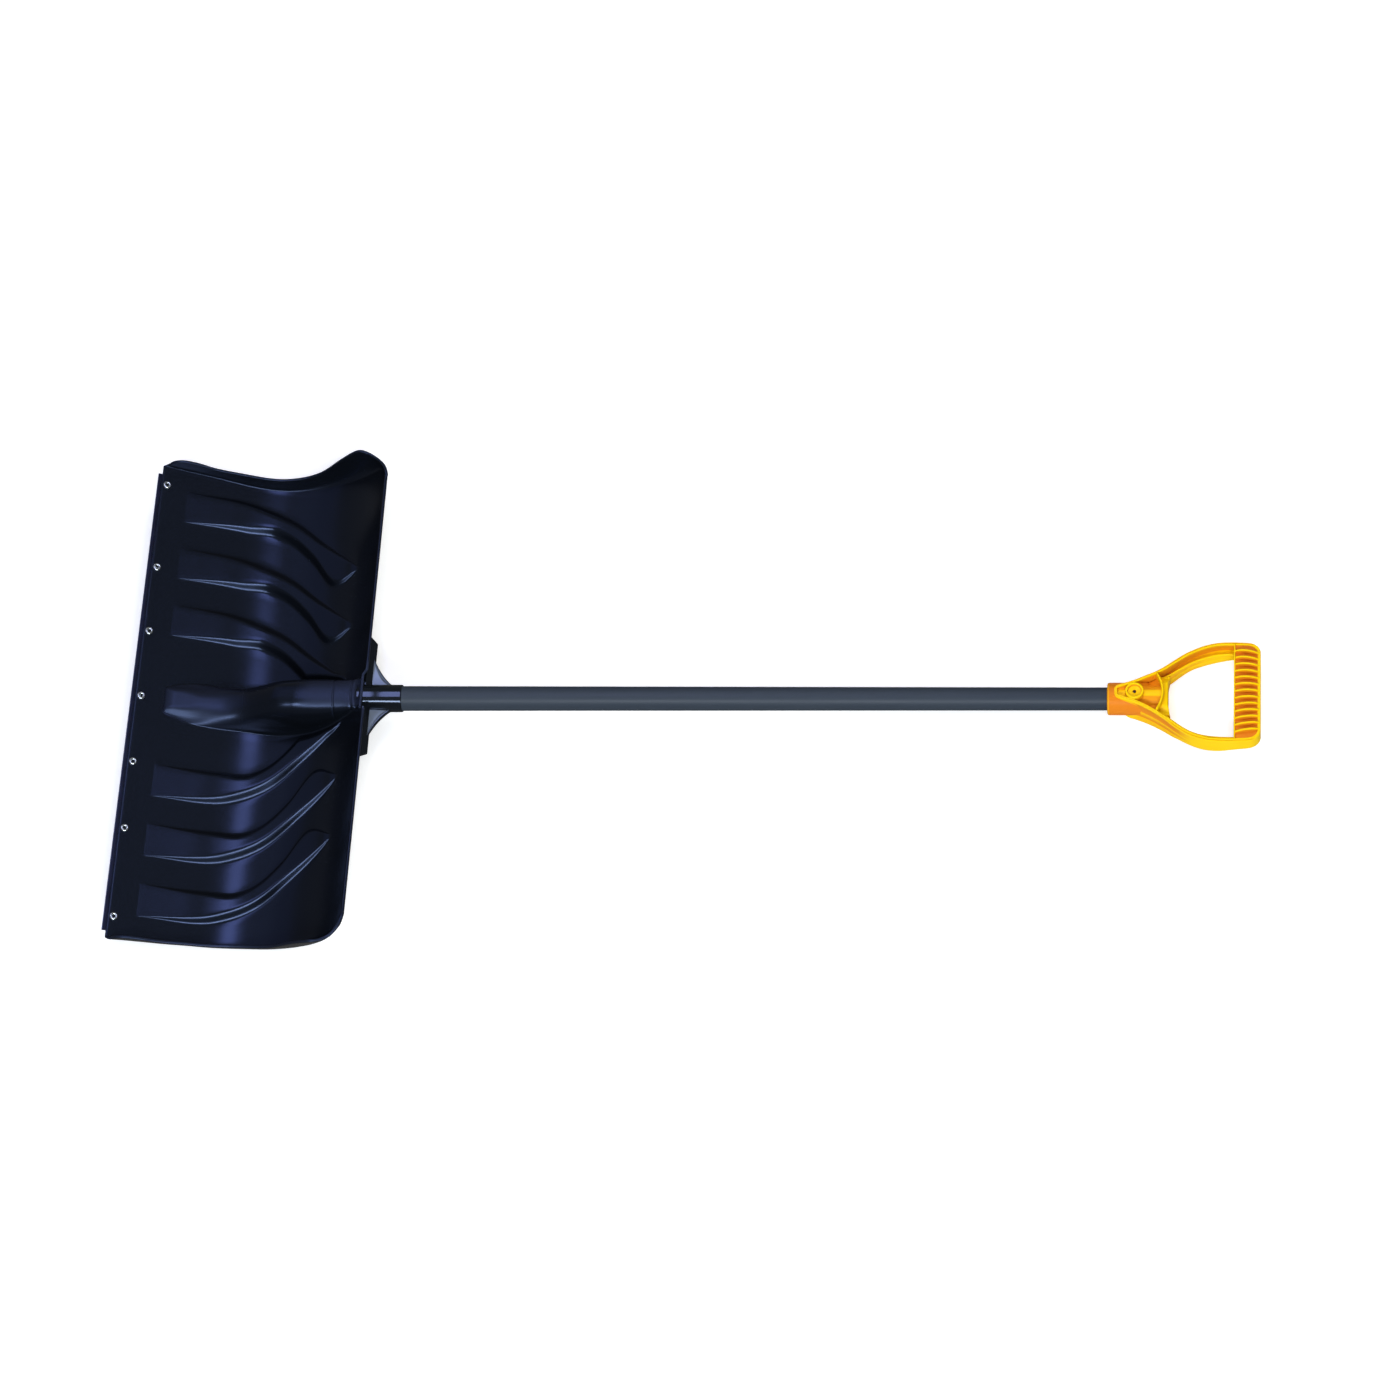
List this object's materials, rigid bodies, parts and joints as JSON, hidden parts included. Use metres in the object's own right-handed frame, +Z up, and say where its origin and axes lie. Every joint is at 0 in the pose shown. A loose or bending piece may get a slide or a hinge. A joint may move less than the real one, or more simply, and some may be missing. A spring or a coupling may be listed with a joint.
{
  "type": "snow shovel",
  "caption": "Wide moulded pusher blade with a curled back, raised ribs and a riveted steel wear strip, on a long tapered shaft with a ribbed D-shaped hand grip.",
  "frame": {"origin": "on the ground, under the middle of the shovel's length and width, as it lies on its back", "axes": "+X from the cutting edge towards the hand grip, +Z up out of the blade's hollow face"},
  "size_m": [1.3016, 0.646, 0.0663],
  "materials": {
    "blade_plastic": "navy-black moulded plastic with a fine grain and a soft sheen",
    "strip_steel": "dark blued steel strip with a bright worn edge",
    "rivet_zinc": "bright zinc plate",
    "shaft_paint": "satin slate-grey coating",
    "plug_plastic": "plain black moulded plastic",
    "screw_zinc": "zinc plate",
    "grip_plastic": "yellow-orange moulded plastic with a soft gloss",
    "pin_steel": "plain steel, dark in its hole"
  },
  "bodies": {
    "root": {"blade": "blade_plastic", "wear_strip": "strip_steel", "rivet_1": "rivet_zinc", "rivet_2": "rivet_zinc", "rivet_3": "rivet_zinc", "rivet_4": "rivet_zinc", "rivet_5": "rivet_zinc", "rivet_6": "rivet_zinc", "rivet_7": "rivet_zinc", "shaft": "shaft_paint", "shaft_plug": "plug_plastic", "socket_screw": "screw_zinc", "d_grip": "grip_plastic", "grip_pin": "pin_steel"}
  },
  "joints": []
}
